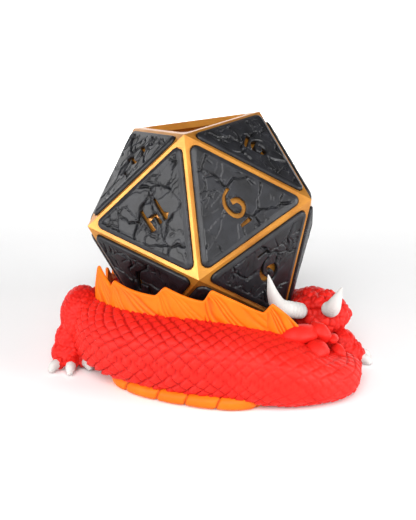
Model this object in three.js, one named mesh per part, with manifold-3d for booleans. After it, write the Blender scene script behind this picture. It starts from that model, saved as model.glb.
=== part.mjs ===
// A dice tower in the shape of a twenty-sided die that stands in the coil of a sleeping dragon.
// Millimetres, +Z up. The origin is on the table, straight below the middle of the die.
import * as THREE from 'three';
import { mergeVertices } from 'three/addons/utils/BufferGeometryUtils.js';
import { ConvexGeometry } from 'three/addons/geometries/ConvexGeometry.js';
import Module from 'manifold-3d';

const wasm = await Module();
wasm.setup();

// ---- Driving dimensions -------------------------------------------------------------------
const DIE_EDGE = 80;
const DIE_STAND_HEIGHT = 4.39;
const DIE_LEAN = THREE.MathUtils.degToRad(8);
const DIE_YAW = THREE.MathUtils.degToRad(25.4);
const DIE_WALL = 4;
const STRUT_HALF_WIDTH = 2;
const PANEL_CORNER_RADIUS = 3.5;
const PANEL_RECESS = 1.6;
const PANEL_PROUD = 2.6;
const PANEL_BEVEL = 1.2;
const INLET_RIM = 3.6;
const EXIT_RIM = 5;
const RAMP_THICKNESS = 2.5;
const BAFFLE_SLOPE = THREE.MathUtils.degToRad(20);
const BAFFLE_DROP = 32.46;
const BAFFLE_REACH = 4;
const SEAT_RADIUS = 10;
const SEAT_LIP = 3;
const TRAY_THICKNESS = 3;
const COIL_SCALE = 1;
const BELLY_HEIGHT = 8;
const FIN_THICKNESS = 3;
const CLAW_LENGTH = 9;
const CLAW_RADIUS = 2.7;
const GAP = 0.3;
const LIFT_CLEARANCE = 0.5;
const LIFT_HEIGHT = 160;

// ---- Colours and finishes -----------------------------------------------------------------
const finish = (color, roughness, metalness) => (
  new THREE.MeshStandardMaterial({ color, roughness, metalness }));
const GOLD = finish(0xd89a3c, 0.35, 0.55);
const BLACK = finish(0x26262a, 0.4, 0);
const RED = finish(0xe8352c, 0.5, 0);
const ORANGE = finish(0xff961e, 0.5, 0);
const WHITE = finish(0xe4e2df, 0.4, 0);

// ---- Solids -------------------------------------------------------------------------------
// A closed three.js geometry as a solid that can be joined and cut.
function solid(geometry) {
  const bare = geometry.clone();
  bare.deleteAttribute('normal');
  bare.deleteAttribute('uv');
  const merged = mergeVertices(bare, 1e-4);
  const corners = Array.from(merged.index.array);
  const triangles = [];
  for (let i = 0; i < corners.length; i += 3) {
    const [a, b, c] = corners.slice(i, i + 3);
    if (a !== b && b !== c && c !== a) triangles.push(a, b, c);
  }
  return new wasm.Manifold(new wasm.Mesh({
    numProp: 3,
    vertProperties: merged.attributes.position.array,
    triVerts: new Uint32Array(triangles),
  }));
}

// The largest body of a cut solid, as a three.js geometry.
function geometryOf(cutSolid) {
  const bodies = cutSolid.decompose();
  const largest = bodies.reduce((best, body) => (body.volume() > best.volume() ? body : best));
  const mesh = largest.getMesh();
  const geometry = new THREE.BufferGeometry();
  geometry.setAttribute('position', new THREE.BufferAttribute(mesh.vertProperties, 3));
  geometry.setIndex(new THREE.BufferAttribute(mesh.triVerts, 1));
  geometry.computeVertexNormals();
  return geometry;
}

const cutBy = (body, ...tools) => tools.reduce((left, tool) => left.subtract(tool), body);
const joined = (...bodies) => bodies.reduce((all, body) => all.add(body));
const moved = (geometry, matrix) => geometry.clone().applyMatrix4(matrix);

const group = new THREE.Group();

function addPiece(name, geometry, material, parent = group) {
  const mesh = new THREE.Mesh(geometry, material);
  mesh.name = name;
  parent.add(mesh);
  return mesh;
}

// ---- The die's own frame: inlet face level, then leaned to one side -----------------------
const GOLDEN = (1 + Math.sqrt(5)) / 2;
const FACE_INRADIUS = DIE_EDGE / (2 * Math.sqrt(3));
const DIE_INRADIUS = FACE_INRADIUS * GOLDEN ** 2;

// The corners A to F are on one side of the die and a to f are opposite them.
function dieCorners() {
  const third = (2 * Math.PI) / 3;
  const ring = (radius, height, turn) => new THREE.Vector3(
    radius * Math.cos(DIE_YAW + turn), radius * Math.sin(DIE_YAW + turn), height);
  const rimRadius = DIE_EDGE / Math.sqrt(3);
  const waistRadius = rimRadius * GOLDEN;
  const waistHeight = FACE_INRADIUS / GOLDEN;
  const corners = {
    A: ring(rimRadius, DIE_INRADIUS, third),
    B: ring(rimRadius, DIE_INRADIUS, -third),
    C: ring(rimRadius, DIE_INRADIUS, 0),
    D: ring(waistRadius, waistHeight, Math.PI),
    E: ring(waistRadius, waistHeight, -third / 2),
    F: ring(waistRadius, -waistHeight, -third),
  };
  for (const letter of 'ABCDEF') corners[letter.toLowerCase()] = corners[letter].clone().negate();
  return corners;
}
const CORNERS = dieCorners();
const tower = new THREE.Group();
tower.rotation.y = -DIE_LEAN;
tower.updateMatrixWorld(true);
const dropOf = (corner) => -corner.clone().applyMatrix4(tower.matrixWorld).z;
const cornerDrops = Object.values(CORNERS).map(dropOf);
// The die stands at its named height over the tray, on its lowest corner.
tower.position.z = TRAY_THICKNESS + DIE_STAND_HEIGHT + Math.max(...cornerDrops);
group.add(tower);
tower.updateMatrixWorld(true);
const inWorld = (point) => point.clone().applyMatrix4(tower.matrixWorld);

// Each face by its number. The numeral's top points to the first corner named.
const HALF_OF_FACES = {
  20: 'ABD', 14: 'FBD', 6: 'BFE', 16: 'CBE', 8: 'CAB', 4: 'cDF', 9: 'aFE', 11: 'Fca', 19: 'aEd', 18: 'cDe',
};
const opposite = (c) => (c === c.toUpperCase() ? c.toLowerCase() : c.toUpperCase());
const swapCase = (text) => [...text].map(opposite).join('');
const FACES = { ...HALF_OF_FACES };
for (const [number, letters] of Object.entries(HALF_OF_FACES)) FACES[21 - number] = swapCase(letters);
const INLET_FACE = 8;
const EXIT_FACE = 15;
const EXIT_TOP_CORNER = 'f';
const SEAT_CORNERS = { front_left: 'c', front_right: 'a', rear: 'b' };

// Takes a face's own axes to the die's: x across it, y to its first corner, z outwards.
function faceMatrix(letters) {
  const [top, second, third] = [...letters].map((letter) => CORNERS[letter]);
  const centre = top.clone().add(second).add(third).divideScalar(3);
  const outward = centre.clone().normalize();
  const up = top.clone().sub(centre).normalize();
  const across = up.clone().cross(outward);
  return new THREE.Matrix4().makeBasis(across, up, outward).setPosition(centre);
}

// An equilateral triangle with round corners, one corner to +Y.
function roundedTriangle(inradius, cornerRadius) {
  const shape = new THREE.Shape();
  const reach = 2 * (inradius - cornerRadius);
  for (let corner = 0; corner < 3; corner += 1) {
    const middle = Math.PI / 2 + (corner * 2 * Math.PI) / 3;
    shape.absarc(reach * Math.cos(middle), reach * Math.sin(middle), cornerRadius,
      middle - Math.PI / 3, middle + Math.PI / 3, false);
  }
  shape.closePath();
  return shape;
}

// A prism on a face from one height over it to another.
function facePrism(inradius, cornerRadius, low, high, bevel = 0) {
  const geometry = new THREE.ExtrudeGeometry(roundedTriangle(inradius - bevel, cornerRadius - bevel), {
    depth: high - low - bevel,
    curveSegments: 2,
    bevelEnabled: bevel > 0,
    bevelThickness: bevel,
    bevelSize: bevel,
    bevelSegments: 1,
  });
  return geometry.translate(0, 0, low);
}

// ---- Die tower ----------------------------------------------------------------------------
const dieAt = (inradius) => new ConvexGeometry(
  Object.values(CORNERS).map((corner) => corner.clone().multiplyScalar(inradius / DIE_INRADIUS)));
const POCKET_INRADIUS = FACE_INRADIUS - STRUT_HALF_WIDTH;
const PANEL_INRADIUS = POCKET_INRADIUS - GAP;
const INNER_INRADIUS = DIE_INRADIUS - DIE_WALL;

function towerShell() {
  let shell = solid(dieAt(DIE_INRADIUS)).subtract(solid(dieAt(INNER_INRADIUS)));
  for (const [number, letters] of Object.entries(FACES)) {
    const place = faceMatrix(letters);
    const open = { [INLET_FACE]: INLET_RIM, [EXIT_FACE]: EXIT_RIM }[number];
    const prism = open
      ? facePrism(FACE_INRADIUS - open, PANEL_CORNER_RADIUS, -2 * DIE_WALL, DIE_WALL)
      : facePrism(POCKET_INRADIUS, PANEL_CORNER_RADIUS, -PANEL_RECESS, DIE_WALL);
    shell = shell.subtract(solid(moved(prism, place)));
  }
  return geometryOf(shell);
}

function addPanels() {
  for (const [number, letters] of Object.entries(FACES)) {
    if (Number(number) === INLET_FACE || Number(number) === EXIT_FACE) continue;
    const low = GAP - PANEL_RECESS + PANEL_BEVEL;
    const panel = facePrism(PANEL_INRADIUS, PANEL_CORNER_RADIUS, low, PANEL_PROUD, PANEL_BEVEL);
    const mesh = addPiece(`panel_${number.padStart(2, '0')}`, geometryOf(solid(panel)), BLACK, tower);
    mesh.applyMatrix4(faceMatrix(letters));
  }
}

// A ramp is a flat plate cut to the inside of the shell. The baffle lies a named drop below the inlet.
const insideShell = () => solid(dieAt(INNER_INRADIUS - GAP));

function exitRamp() {
  const sill = FACE_INRADIUS - EXIT_RIM;
  const plate = new THREE.BoxGeometry(2 * DIE_EDGE, RAMP_THICKNESS, 2 * DIE_EDGE);
  plate.translate(0, -sill - RAMP_THICKNESS / 2, -DIE_EDGE);
  // The ramp meets the exit's lower edge, which is opposite its top corner.
  const letters = EXIT_TOP_CORNER + FACES[EXIT_FACE].replace(EXIT_TOP_CORNER, '');
  return geometryOf(insideShell().intersect(solid(moved(plate, faceMatrix(letters)))));
}

function exitDirection() {
  const centre = new THREE.Vector3().setFromMatrixPosition(faceMatrix(FACES[EXIT_FACE]));
  return Math.atan2(centre.y, centre.x);
}

function baffle() {
  const plate = new THREE.BoxGeometry(2 * DIE_EDGE, 2 * DIE_EDGE, RAMP_THICKNESS);
  plate.translate(DIE_EDGE, 0, 0);
  const place = new THREE.Matrix4().makeRotationY(-BAFFLE_SLOPE);
  place.premultiply(new THREE.Matrix4().makeTranslation(-BAFFLE_REACH, 0, DIE_INRADIUS - BAFFLE_DROP));
  place.premultiply(new THREE.Matrix4().makeRotationZ(exitDirection()));
  return geometryOf(insideShell().intersect(solid(moved(plate, place))));
}

addPiece('tower_shell', towerShell(), GOLD, tower);
addPiece('baffle_ramp', baffle(), GOLD, tower);
addPiece('exit_ramp', exitRamp(), GOLD, tower);
addPanels();

// The space the die needs to be lifted straight out of the coil.
function liftSpace(clearance) {
  const grown = Object.values(CORNERS).map((corner) => inWorld(
    corner.clone().multiplyScalar((DIE_INRADIUS + clearance) / DIE_INRADIUS)));
  const proud = [];
  for (const letters of Object.values(FACES)) {
    const place = faceMatrix(letters);
    for (const { x, y } of roundedTriangle(PANEL_INRADIUS, PANEL_CORNER_RADIUS).getPoints(3)) {
      proud.push(inWorld(new THREE.Vector3(x, y, PANEL_PROUD + clearance).applyMatrix4(place)));
    }
  }
  const rest = [...grown, ...proud];
  const lifted = rest.map((point) => point.clone().setZ(point.z + LIFT_HEIGHT));
  return solid(new ConvexGeometry([...rest, ...lifted]));
}
const LIFT_SPACE = liftSpace(LIFT_CLEARANCE);

// ---- The dragon's forms -------------------------------------------------------------------
const at = (x, y, half, low, high) => ({ x: x * COIL_SCALE, y: y * COIL_SCALE, half, low, high });

const spread = ([x, y, ...height]) => [x * COIL_SCALE, y * COIL_SCALE, ...height];

// A smooth body along a line of stations, each with a place, a half width and two heights.
function formAlong(stations, shape = {}) {
  const { around = 20, along = 24, cap = 0.12, grow = 0, squareness = 0.8, underside = squareness } = shape;
  const line = new THREE.CatmullRomCurve3(
    stations.map((s) => new THREE.Vector3(s.x, s.y, 0)), false, 'centripetal');
  const sizes = new THREE.CatmullRomCurve3(
    stations.map((s) => new THREE.Vector3(s.half, s.low, s.high)), false, 'catmullrom', 0.5);
  const geometry = new THREE.SphereGeometry(1, around, along);
  const position = geometry.attributes.position;
  const rounded = (value, under) => Math.sign(value) * Math.abs(value) ** (under ? underside : squareness);
  for (let i = 0; i < position.count; i += 1) {
    const [px, py, pz] = [position.getX(i), position.getY(i), position.getZ(i)];
    const share = Math.acos(THREE.MathUtils.clamp(-py, -1, 1)) / Math.PI;
    const angle = Math.atan2(pz, px);
    const nearEnd = Math.min(share, 1 - share) / cap;
    const full = nearEnd >= 1 ? 1 : Math.sqrt(1 - (1 - nearEnd) ** 2);
    const size = sizes.getPoint(share);
    const centre = line.getPoint(share);
    const heading = line.getTangent(share);
    const side = new THREE.Vector3(heading.y, -heading.x, 0).normalize();
    const halfHeight = (size.z - size.y) / 2;
    const middle = (size.z + size.y) / 2;
    const across = (size.x + grow) * full * rounded(Math.cos(angle), angle < 0);
    const up = (halfHeight + grow) * full * rounded(Math.sin(angle), angle < 0);
    const endward = share < cap ? -grow : share > 1 - cap ? grow : 0;
    position.setXYZ(i, centre.x + side.x * across + heading.x * endward,
      centre.y + side.y * across + heading.y * endward, middle + up);
  }
  return outward(geometry);
}

// A bent geometry as a solid whose faces point out.
function outward(geometry) {
  const body = solid(geometry);
  if (body.volume() > 0) return body;
  const turned = geometry.clone();
  const index = turned.index.array;
  for (let i = 0; i < index.length; i += 3) [index[i], index[i + 1]] = [index[i + 1], index[i]];
  return solid(turned);
}

// An egg with its own half sizes.
function egg(centre, halves, grow = 0) {
  const geometry = new THREE.SphereGeometry(1, 12, 9);
  geometry.scale(halves[0] + grow, halves[1] + grow, halves[2] + grow);
  geometry.translate(...centre);
  return solid(geometry);
}

// A round tapering spike through a few points, narrow at its last one.
function spike(points, radii, { around = 9, rings = 7, grow = 0 } = {}) {
  const line = new THREE.CatmullRomCurve3(points.map((p) => new THREE.Vector3(...p)));
  const radius = new THREE.CatmullRomCurve3(radii.map((r) => new THREE.Vector3(r, 0, 0)));
  const geometry = new THREE.SphereGeometry(1, around, rings);
  const position = geometry.attributes.position;
  for (let i = 0; i < position.count; i += 1) {
    const [px, py, pz] = [position.getX(i), position.getY(i), position.getZ(i)];
    const share = Math.acos(THREE.MathUtils.clamp(-py, -1, 1)) / Math.PI;
    const angle = Math.atan2(pz, px);
    const size = share === 0 || share > 0.999 ? 0 : radius.getPoint(share).x + grow;
    const heading = line.getTangent(share);
    const side = new THREE.Vector3(heading.y, -heading.x, 0).normalize();
    const up = heading.clone().cross(side).negate();
    const place = line.getPoint(share);
    place.addScaledVector(side, size * Math.cos(angle));
    place.addScaledVector(up, size * Math.sin(angle));
    place.addScaledVector(heading, grow * (2 * share - 1));
    position.setXYZ(i, place.x, place.y, place.z);
  }
  return outward(geometry);
}

// ---- Stations and feet --------------------------------------------------------------------
const TORSO = [
  at(-66, -14, 12, 4, 33), at(-62, -48, 15, 6, 39), at(-43, -71, 21, 6, 40),
  at(-14, -83, 25, 4.5, 40), at(17, -88, 27, 1.5, 38), at(43, -89, 28, 0, 32.3),
  at(62, -84, 23.3, 0, 22), at(72, -75, 14.5, 0, 18), at(78, -63, 9, 0, 14),
];
// The torso's underside is squarer than its back, so its side comes down close to the table.
const TORSO_UNDERSIDE = 0.55;
const BELLY = [
  at(-48, -58, 14, 0, BELLY_HEIGHT), at(-29, -76, 19, 0, BELLY_HEIGHT),
  at(-5, -85, 22.5, 0, BELLY_HEIGHT), at(19, -90, 22.5, 0, BELLY_HEIGHT), at(36, -90, 12, 0, BELLY_HEIGHT),
];
const TAIL = [
  at(-66, -24, 12, 0, 33), at(-65, 8, 11, 0, 29), at(-61, 40, 11, 0, 25), at(-42, 72, 10, 0, 21),
  at(-8, 88, 9, 0, 18), at(28, 86, 8, 0, 14), at(52, 72, 6, 0, 10), at(61, 57, 3, 0, 6),
];
const HEAD = [
  at(66, -53, 12, 16, 32), at(67.5, -40, 17, 16, 38), at(67.5, -26, 17, 16, 36.5), at(65, -8, 12, 14, 29),
  at(63, 10, 10, 13, 24.5), at(61, 27, 8, 12.5, 21),
];
const JAW = [at(66, -34, 11, 7, 17), at(64, 0, 9, 6.5, 16), at(61, 25, 7, 6, 14)];

// Each foot has its bulk, an ankle, three toes that spread from it and a claw in each toe.
const LEGS = {
  hind_right: {
    bulk: [
      { centre: [-72, -43, 27], halves: [12.5, 18, 17.5] }, { centre: [-78, -49, 14], halves: [9.5, 9, 12] },
      { centre: [-79, -52, 8], halves: [10.5, 9.5, 7.8] },
    ],
    ankle: [-77, -50, 5],
    toes: [[-85, -62], [-76.5, -64.5], [-69, -59]], toeRadius: 4.4,
  },
  fore_right: {
    bulk: [{ centre: [82, -48, 9.6], halves: [11, 9, 9.4] }],
    ankle: [82, -48, 5], toes: [[90, -52], [91, -45.5], [88, -39]], toeRadius: 4,
  },
  fore_left: {
    bulk: [{ centre: [50, 22, 8], halves: [8, 12, 7.8] }],
    ankle: [50, 28, 5], toes: [[44, 38], [50.5, 40], [57, 38]], toeRadius: 3.8,
  },
};
const HORNS = {
  left: {
    points: [[57, -50, 32], [49, -54.5, 34.5], [41, -60, 38.5], [37, -64, 46], [33.5, -68, 59.5]],
    radii: [4, 4, 3.9, 3.2, 0.5],
  },
  right: {
    points: [[69, -50, 34], [70.5, -57, 36], [72, -60, 41], [75, -62, 50.5]],
    radii: [4.6, 5, 3.9, 0.5],
  },
};
const FRILL = {
  frill_leaf_left: {
    points: [[62, -76, 31], [49, -88, 33.5], [39, -91, 33]],
    radii: [3.5, 5.8, 5.2, 0.6],
  },
  frill_leaf_top: {
    points: [[66, -78, 26.5], [62.5, -81.5, 32], [58.5, -79.5, 37.5]],
    radii: [3.5, 4.8, 4.6, 0.8],
  },
  frill_leaf_low: {
    points: [[64, -82, 22], [59, -91, 26], [56.5, -99, 25]],
    radii: [3.5, 6, 5.4, 1.4],
  },
  frill_bud_upper: {
    points: [[72, -68, 25], [69.5, -79, 28], [68.5, -84, 28.5]],
    radii: [2, 2.9, 2.7, 0.9],
  },
  frill_bud_lower: {
    points: [[71, -74, 23], [73.5, -80, 21], [76, -83, 17.5]],
    radii: [2, 3, 2.7, 0.8],
  },
};

// ---- Forms, each of which can be grown by a gap to cut its neighbours ----------------------
const torsoShape = { around: 18, along: 26, underside: TORSO_UNDERSIDE };
const torsoForm = (grow = 0) => formAlong(TORSO, { ...torsoShape, grow });
const bellyForm = (grow = 0) => formAlong(BELLY, { around: 10, along: 16, cap: 0.2, grow });
const tailForm = (grow = 0) => formAlong(TAIL, { around: 14, along: 22, grow });
const headForm = (grow = 0) => formAlong(HEAD, { around: 16, along: 16, cap: 0.16, grow });
const jawForm = (grow = 0) => formAlong(JAW, { around: 10, along: 10, cap: 0.25, grow });
const spikeForm = ({ points, radii }, grow = 0) => spike(points.map(spread), radii, { grow });

function legForm(leg, grow = 0) {
  const bulk = leg.bulk.map(({ centre, halves }) => egg(spread(centre), halves, grow));
  const toes = leg.toes.map(([x, y]) => {
    const r = leg.toeRadius;
    const points = [leg.ankle, [x, y, r + GAP]].map(spread);
    return spike(points, [r, r * 1.1, r, r * 0.8], { grow, around: 7, rings: 5 });
  });
  return joined(...bulk, ...toes);
}

// A claw grows out of a toe's end in the toe's own direction and curves down to the table.
function clawForm(leg, toe, grow = 0) {
  const [x, y] = spread(toe);
  const [ankleX, ankleY] = spread(leg.ankle);
  const out = new THREE.Vector3(x - ankleX, y - ankleY, 0).normalize();
  const along = (reach, height) => [x + out.x * reach, y + out.y * reach, height];
  const points = [along(-CLAW_RADIUS, leg.toeRadius), along(CLAW_LENGTH * 0.3, leg.toeRadius),
    along(CLAW_LENGTH * 0.7, CLAW_RADIUS * 0.5)];
  const radii = [CLAW_RADIUS, CLAW_RADIUS, CLAW_RADIUS, CLAW_RADIUS * 0.5];
  return spike(points, radii, { grow, around: 7, rings: 5 });
}

const tableBlock = new THREE.BoxGeometry(4 * DIE_EDGE, 4 * DIE_EDGE, DIE_EDGE);
const TABLE = solid(tableBlock.translate(0, 0, -DIE_EDGE / 2));
const hindLegCut = legForm(LEGS.hind_right, GAP);
const legCuts = Object.values(LEGS).map((leg) => legForm(leg, GAP));
const clawCuts = Object.values(LEGS).flatMap((leg) => leg.toes.map((toe) => clawForm(leg, toe, GAP)));
const hornCuts = Object.values(HORNS).map((horn) => spikeForm(horn, GAP));
const torsoCut = torsoForm(GAP);
const tailCut = tailForm(GAP);
const headCut = headForm(GAP);

// ---- Torso, belly and tail ----------------------------------------------------------------
addPiece('torso', geometryOf(cutBy(torsoForm(), hindLegCut, ...clawCuts, LIFT_SPACE, TABLE)), RED);
addPiece('tail', geometryOf(cutBy(tailForm(), torsoCut, hindLegCut, LIFT_SPACE)), RED);
const bellyNeighbours = [torsoCut, tailCut, ...legCuts, ...clawCuts, TABLE];
addPiece('belly_plates', geometryOf(cutBy(bellyForm(), ...bellyNeighbours)), ORANGE);

// ---- Legs and claws -----------------------------------------------------------------------
for (const [name, leg] of Object.entries(LEGS)) {
  const neighbours = name === 'hind_right' ? [] : [torsoCut, tailCut];
  addPiece(`${name}_leg`, geometryOf(cutBy(legForm(leg), ...neighbours, LIFT_SPACE, TABLE)), RED);
  leg.toes.forEach((toe, index) => {
    const claw = cutBy(clawForm(leg, toe), legForm(leg, GAP), TABLE);
    addPiece(`${name}_claw_${index + 1}`, geometryOf(claw), WHITE);
  });
}

// ---- Head, jaw, horns and frill -----------------------------------------------------------
addPiece('head', geometryOf(cutBy(headForm(), torsoCut, LIFT_SPACE, ...legCuts)), RED);
addPiece('lower_jaw', geometryOf(cutBy(jawForm(), headCut, torsoCut, LIFT_SPACE, ...legCuts)), RED);
for (const [side, horn] of Object.entries(HORNS)) {
  addPiece(`horn_${side}`, geometryOf(cutBy(spikeForm(horn), headCut, torsoCut, LIFT_SPACE)), WHITE);
}
const frillCuts = [];
// Facets narrower than this, left where the leaves' cuts cross, are merged into their neighbours.
const NARROW_FACET = 0.03;
for (const [name, leaf] of Object.entries(FRILL)) {
  const neighbours = [headCut, torsoCut, ...legCuts, ...hornCuts, ...frillCuts];
  const cutLeaf = cutBy(spikeForm(leaf), ...neighbours).simplify(NARROW_FACET);
  addPiece(name, geometryOf(cutLeaf), RED);
  frillCuts.push(spikeForm(leaf, GAP));
}

// ---- Fins ---------------------------------------------------------------------------------
// The height of a fin's edge: steep on the tail side of each tooth, then falling in a long sweep.
const TOOTH_RISE = 0.15;
const TOOTH_SWEEP = 1.7;
const VALLEY_FADE = 5;
const TOOTH_COLUMNS = [0, 0.06, 0.18, 0.34, 0.52, 0.7, 1 - TOOTH_RISE];
function toothHeight(share, { tips, valley, end }) {
  if (share < tips[0][0]) return (tips[0][1] * share) / tips[0][0];
  const next = tips.findIndex(([place]) => place > share);
  const last = next < 0 ? tips.length - 1 : Math.max(next - 1, 0);
  const [place, height] = tips[last];
  const [nextPlace, nextHeight] = tips[last + 1] ?? [1, valley];
  const step = THREE.MathUtils.clamp((share - place) / (nextPlace - place), 0, 1);
  const low = valley * THREE.MathUtils.lerp(1, end, share ** VALLEY_FADE);
  const risen = (step - 1 + TOOTH_RISE) / TOOTH_RISE;
  if (risen > 0) return THREE.MathUtils.lerp(low, nextHeight, risen);
  return low + (height - low) * (1 - step / (1 - TOOTH_RISE)) ** TOOTH_SWEEP;
}

// A fin is a webbed sheet that stands along a form's top line.
function fin(stations, shape) {
  const line = new THREE.CatmullRomCurve3(
    stations.map((s) => new THREE.Vector3(s.x, s.y, s.high)), false, 'centripetal');
  const ends = [...shape.tips.map(([place]) => place), 1];
  const columns = [0, ...shape.tips.flatMap(([place], tooth) => (
    TOOTH_COLUMNS.map((step) => THREE.MathUtils.lerp(place, ends[tooth + 1], step)))), 1];
  const steps = columns.length - 1;
  const geometry = new THREE.BoxGeometry(1, 1, FIN_THICKNESS, steps, 1, 1).translate(0.5, 0, 0);
  const position = geometry.attributes.position;
  for (let i = 0; i < position.count; i += 1) {
    const share = columns[Math.round(position.getX(i) * steps)];
    const place = line.getPoint(THREE.MathUtils.lerp(shape.from, shape.to, share));
    const heading = line.getTangent(THREE.MathUtils.lerp(shape.from, shape.to, share));
    const side = new THREE.Vector3(heading.y, -heading.x, 0).normalize();
    const top = position.getY(i) > 0;
    place.addScaledVector(side, position.getZ(i));
    place.z += top ? toothHeight(share, shape) : -shape.sink;
    position.setXYZ(i, place.x, place.y, place.z);
  }
  return outward(geometry);
}
// Each tip has its share of the fin's length and its height over the back.
const CREST_TIPS = [[0.05, 20], [0.16, 13], [0.39, 16.5], [0.55, 17.5], [0.775, 15.5]];
const TAIL_TIPS = [[0.02, 12], [0.15, 11.5], [0.29, 11], [0.43, 10], [0.58, 9], [0.72, 8], [0.86, 7]];
const crest = fin(TORSO, { from: 0.115, to: 0.72, tips: CREST_TIPS, valley: 11, end: 0.25, sink: 6 });
const tailFin = fin(TAIL, { from: 0.16, to: 0.85, tips: TAIL_TIPS, valley: 4, end: 0.5, sink: 4 });
const crestNeighbours = [torsoCut, headCut, hindLegCut, LIFT_SPACE, ...hornCuts, ...frillCuts];
addPiece('crest_fin', geometryOf(cutBy(crest, ...crestNeighbours)), ORANGE);
addPiece('tail_fin', geometryOf(cutBy(tailFin, tailCut, torsoCut, LIFT_SPACE)), ORANGE);

// ---- Tray and corner seats ----------------------------------------------------------------
const TRAY_HALF_WIDTH = 66 * COIL_SCALE;
const TRAY_HALF_DEPTH = 84 * COIL_SCALE;
const trayDisc = new THREE.ExtrudeGeometry(
  new THREE.Shape(new THREE.EllipseCurve(0, 0, TRAY_HALF_WIDTH, TRAY_HALF_DEPTH).getPoints(26)),
  { depth: TRAY_THICKNESS, bevelEnabled: false });
const coilCuts = [torsoCut, tailCut, bellyForm(GAP), jawForm(GAP), headCut, ...legCuts, ...clawCuts];
addPiece('tray_floor', geometryOf(cutBy(solid(trayDisc), ...coilCuts)), BLACK);

for (const [name, letter] of Object.entries(SEAT_CORNERS)) {
  const corner = inWorld(CORNERS[letter]);
  const low = TRAY_THICKNESS + GAP;
  const height = corner.z + SEAT_LIP - low;
  const post = new THREE.CylinderGeometry(SEAT_RADIUS, SEAT_RADIUS, height, 16).rotateX(Math.PI / 2);
  post.translate(corner.x, corner.y, low + height / 2);
  addPiece(`corner_seat_${name}`, geometryOf(cutBy(solid(post), LIFT_SPACE, ...coilCuts)), BLACK);
}

export default group;
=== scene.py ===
"""A dice tower: a twenty-sided die that stands in the coil of a sleeping dragon.

Sizes are in millimetres up to the mesh makers, which turn them into metres.
"""

import math

import bmesh
import bpy
import numpy as np
from mathutils import Matrix, Vector
from mathutils.geometry import delaunay_2d_cdt


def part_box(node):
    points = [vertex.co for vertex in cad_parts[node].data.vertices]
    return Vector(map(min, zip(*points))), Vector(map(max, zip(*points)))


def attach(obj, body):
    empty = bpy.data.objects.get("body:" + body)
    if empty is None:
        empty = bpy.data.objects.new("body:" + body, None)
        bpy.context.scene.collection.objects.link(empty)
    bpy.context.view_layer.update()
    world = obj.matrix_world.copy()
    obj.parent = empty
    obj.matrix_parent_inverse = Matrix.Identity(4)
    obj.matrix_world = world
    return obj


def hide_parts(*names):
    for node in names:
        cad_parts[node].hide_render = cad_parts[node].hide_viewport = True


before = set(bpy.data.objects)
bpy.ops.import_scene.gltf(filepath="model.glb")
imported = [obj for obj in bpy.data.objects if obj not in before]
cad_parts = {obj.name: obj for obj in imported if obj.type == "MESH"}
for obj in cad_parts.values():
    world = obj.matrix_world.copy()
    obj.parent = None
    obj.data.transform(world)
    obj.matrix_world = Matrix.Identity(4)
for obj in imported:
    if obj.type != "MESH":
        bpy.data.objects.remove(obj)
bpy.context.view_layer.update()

MM = 0.001
RNG = np.random.default_rng(20)

# ---- Driving sizes --------------------------------------------------------------------------
DIE_EDGE = 80.0
DIE_LEAN = math.radians(8)
DIE_YAW = math.radians(25.4)
STRUT_HALF_WIDTH = 2.0
PANEL_GAP = 0.3
PANEL_RECESS = 1.3
PANEL_PROUD = 2.4
PANEL_TOP = 2.25
PANEL_CORNER = 3.5
LIFT_MARGIN = 0.7
BELLY_HEIGHT = 8.0
FIN_THICKNESS = 3.0
CLAW_LENGTH = 9.0
CLAW_RADIUS = 2.7
TABLE_GAP = 0.05
POLE_WELD = 2e-6

GOLDEN = (1 + math.sqrt(5)) / 2
FACE_INRADIUS = DIE_EDGE / (2 * math.sqrt(3))
DIE_INRADIUS = FACE_INRADIUS * GOLDEN**2
SHELL_LOW, SHELL_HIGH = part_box("tower_shell")
DIE_CENTRE = (SHELL_LOW + SHELL_HIGH) / 2 / MM


# ---- Mesh helpers ---------------------------------------------------------------------------
def linked_object(name, verts, faces):
    """A mesh from points in millimetres, placed in the object's frame."""
    mesh = bpy.data.meshes.new(name)
    mesh.from_pydata([tuple(v) for v in np.asarray(verts) * MM], [], faces)
    obj = bpy.data.objects.new(name, mesh)
    bpy.context.scene.collection.objects.link(obj)
    return obj


def tidy_mesh(obj, distance=1e-6):
    """Merges doubled points and turns every face outwards."""
    bm = bmesh.new()
    bm.from_mesh(obj.data)
    bmesh.ops.remove_doubles(bm, verts=bm.verts, dist=distance)
    bmesh.ops.recalc_face_normals(bm, faces=bm.faces)
    bm.to_mesh(obj.data)
    bm.free()
    obj.data.update()


def baked(obj):
    """Replaces an object's mesh by what its modifiers make of it."""
    depsgraph = bpy.context.evaluated_depsgraph_get()
    depsgraph.update()
    result = bpy.data.meshes.new_from_object(obj.evaluated_get(depsgraph))
    result.name = obj.name
    obj.modifiers.clear()
    obj.data = result
    return obj


def smooth_shaded(obj):
    for polygon in obj.data.polygons:
        polygon.use_smooth = True
    return obj


def points_of(obj):
    co = np.zeros(len(obj.data.vertices) * 3)
    obj.data.vertices.foreach_get("co", co)
    return co.reshape(-1, 3) / MM


def set_points(obj, points):
    obj.data.vertices.foreach_set("co", (np.asarray(points) * MM).ravel())
    obj.data.update()


def point_attribute(obj, name, values):
    attribute = obj.data.attributes.get(name) or obj.data.attributes.new(name, "FLOAT", "POINT")
    attribute.data.foreach_set("value", np.asarray(values, np.float32))


def finish_piece(obj, body, slot, material, *nodes):
    """Gives a piece its material and its body, and hides the CAD nodes it stands for. The slot argument is
    not used.
    """
    obj.data.materials.clear()
    obj.data.materials.append(material)
    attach(obj, body)
    if nodes:
        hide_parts(*nodes)
    return obj


def smoothstep(low, high, x):
    t = np.clip((np.asarray(x, float) - low) / (high - low), 0, 1)
    return t * t * (3 - 2 * t)


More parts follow.
